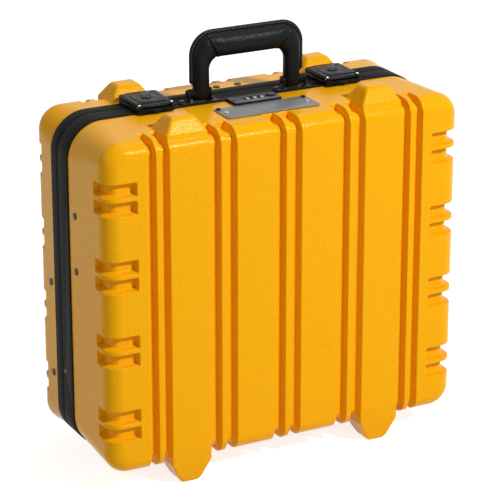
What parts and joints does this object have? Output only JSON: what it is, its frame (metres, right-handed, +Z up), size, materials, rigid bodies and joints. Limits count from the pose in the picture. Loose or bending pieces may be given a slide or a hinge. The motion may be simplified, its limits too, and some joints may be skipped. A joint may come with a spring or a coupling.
{
  "type": "tool case",
  "caption": "Upright hard tool case: two ribbed plastic shells in a black two-part frame, hinged below, with latches, dial lock and a folding padded handle.",
  "frame": {"origin": "on the floor, under the middle of the case, between its feet", "axes": "+X to the right across the front face, +Y to the back (lid) side, +Z up towards the handle"},
  "size_m": [0.463, 0.196, 0.509],
  "materials": {
    "yellow_plastic": "satin, fine leather grain",
    "black_frame": "black coated extrusion",
    "black_hardware": "black enamel, satin",
    "dial_metal": "black plated dials",
    "black_leather": "grained, stitched",
    "brushed_plate": "brushed, blank",
    "dark_rivet": "dark plated",
    "plated_steel": "zinc plated"
  },
  "bodies": {
    "base": {"front_shell": "yellow_plastic", "base_frame": "black_frame", "frame_joint_rivets": "dark_rivet", "left_hinge_base_leaf": "plated_steel", "right_hinge_base_leaf": "plated_steel", "left_hinge_pin": "plated_steel", "right_hinge_pin": "plated_steel", "hinge_base_rivets": "plated_steel", "left_handle_bracket": "black_hardware", "right_handle_bracket": "black_hardware", "left_handle_pin": "black_hardware", "right_handle_pin": "black_hardware", "handle_bracket_rivets": "dark_rivet", "left_latch_base": "black_hardware", "right_latch_base": "black_hardware", "left_latch_pin": "plated_steel", "right_latch_pin": "plated_steel", "latch_base_rivets": "plated_steel", "lock_housing": "black_hardware", "lock_axle": "plated_steel", "nameplate": "brushed_plate", "nameplate_rivets": "plated_steel", "nameplate_studs": "black_hardware", "left_stay_base_bracket": "plated_steel", "right_stay_base_bracket": "plated_steel", "base_side_rivets": "dark_rivet"},
    "lid": {"back_shell": "yellow_plastic", "lid_frame": "black_frame", "left_hinge_lid_leaf": "plated_steel", "right_hinge_lid_leaf": "plated_steel", "hinge_lid_rivets": "plated_steel", "left_latch_keeper": "black_hardware", "right_latch_keeper": "black_hardware", "latch_keeper_rivets": "plated_steel", "lock_catch": "plated_steel", "lock_catch_rivets": "dark_rivet", "left_stay_lid_bracket": "plated_steel", "right_stay_lid_bracket": "plated_steel", "lid_side_rivets": "dark_rivet"},
    "handle": {"handle_core": "plated_steel", "handle_grip": "black_leather"},
    "left_lever": {"left_latch_lever": "black_hardware"},
    "left_key": {"left_key_barrel": "black_hardware"},
    "left_upper_stay": {"left_stay_upper_link": "plated_steel"},
    "left_lower_stay": {"left_stay_lower_link": "plated_steel"},
    "right_lever": {"right_latch_lever": "black_hardware"},
    "right_key": {"right_key_barrel": "black_hardware"},
    "right_upper_stay": {"right_stay_upper_link": "plated_steel"},
    "right_lower_stay": {"right_stay_lower_link": "plated_steel"},
    "dial_1": {"lock_dial_1": "dial_metal"},
    "dial_2": {"lock_dial_2": "dial_metal"},
    "dial_3": {"lock_dial_3": "dial_metal"},
    "slide": {"lock_slide": "black_hardware"}
  },
  "joints": [
    {"name": "lid_hinge", "type": "hinge", "parent": "base", "child": "lid", "pos_m": [0, 0.026, 0.0192], "axis": [-1, 0, 0], "range_deg": [0, 95]},
    {"name": "handle_hinge", "type": "hinge", "parent": "base", "child": "handle", "pos_m": [0, 0.006, 0.4355], "axis": [1, 0, 0], "range_deg": [-78, 78]},
    {"name": "left_latch_hinge", "type": "hinge", "parent": "base", "child": "left_lever", "pos_m": [-0.122, -0.005, 0.43185], "axis": [1, 0, 0], "range_deg": [0, 100]},
    {"name": "left_key_turn", "type": "hinge", "parent": "left_lever", "child": "left_key", "pos_m": [-0.122, 0.0205, 0.432], "axis": [0, 0, 1], "range_deg": [0, 90]},
    {"name": "left_upper_stay_hinge", "type": "hinge", "parent": "base", "child": "left_upper_stay", "pos_m": [-0.22, -0.016, 0.26798], "axis": [-1, 0, 0], "range_deg": [0, 95]},
    {"name": "left_lower_stay_hinge", "type": "hinge", "parent": "lid", "child": "left_lower_stay", "pos_m": [-0.2176, 0.058, 0.13405], "axis": [-1, 0, 0], "range_deg": [-95, 0]},
    {"name": "right_latch_hinge", "type": "hinge", "parent": "base", "child": "right_lever", "pos_m": [0.122, -0.005, 0.43185], "axis": [1, 0, 0], "range_deg": [0, 100]},
    {"name": "right_key_turn", "type": "hinge", "parent": "right_lever", "child": "right_key", "pos_m": [0.122, 0.0205, 0.432], "axis": [0, 0, 1], "range_deg": [0, 90]},
    {"name": "right_upper_stay_hinge", "type": "hinge", "parent": "base", "child": "right_upper_stay", "pos_m": [0.22, -0.016, 0.26798], "axis": [-1, 0, 0], "range_deg": [0, 95]},
    {"name": "right_lower_stay_hinge", "type": "hinge", "parent": "lid", "child": "right_lower_stay", "pos_m": [0.2176, 0.058, 0.13405], "axis": [-1, 0, 0], "range_deg": [-95, 0]},
    {"name": "dial_1_spin", "type": "hinge", "parent": "base", "child": "dial_1", "pos_m": [-0.0093, -0.0132, 0.4195], "axis": [1, 0, 0], "continuous": true},
    {"name": "dial_2_spin", "type": "hinge", "parent": "base", "child": "dial_2", "pos_m": [0, -0.0132, 0.4195], "axis": [1, 0, 0], "continuous": true},
    {"name": "dial_3_spin", "type": "hinge", "parent": "base", "child": "dial_3", "pos_m": [0.0093, -0.0132, 0.4195], "axis": [1, 0, 0], "continuous": true},
    {"name": "lock_slide_travel", "type": "slide", "parent": "base", "child": "slide", "axis": [1, 0, 0], "range_m": [0, 0.0045], "stiffness_N_per_m": 150}
  ],
  "couplings": [
    {"joint": "left_upper_stay_hinge", "follows": "lid_hinge", "ratio": 1},
    {"joint": "left_lower_stay_hinge", "follows": "lid_hinge", "ratio": -1},
    {"joint": "right_upper_stay_hinge", "follows": "lid_hinge", "ratio": 1},
    {"joint": "right_lower_stay_hinge", "follows": "lid_hinge", "ratio": -1}
  ]
}
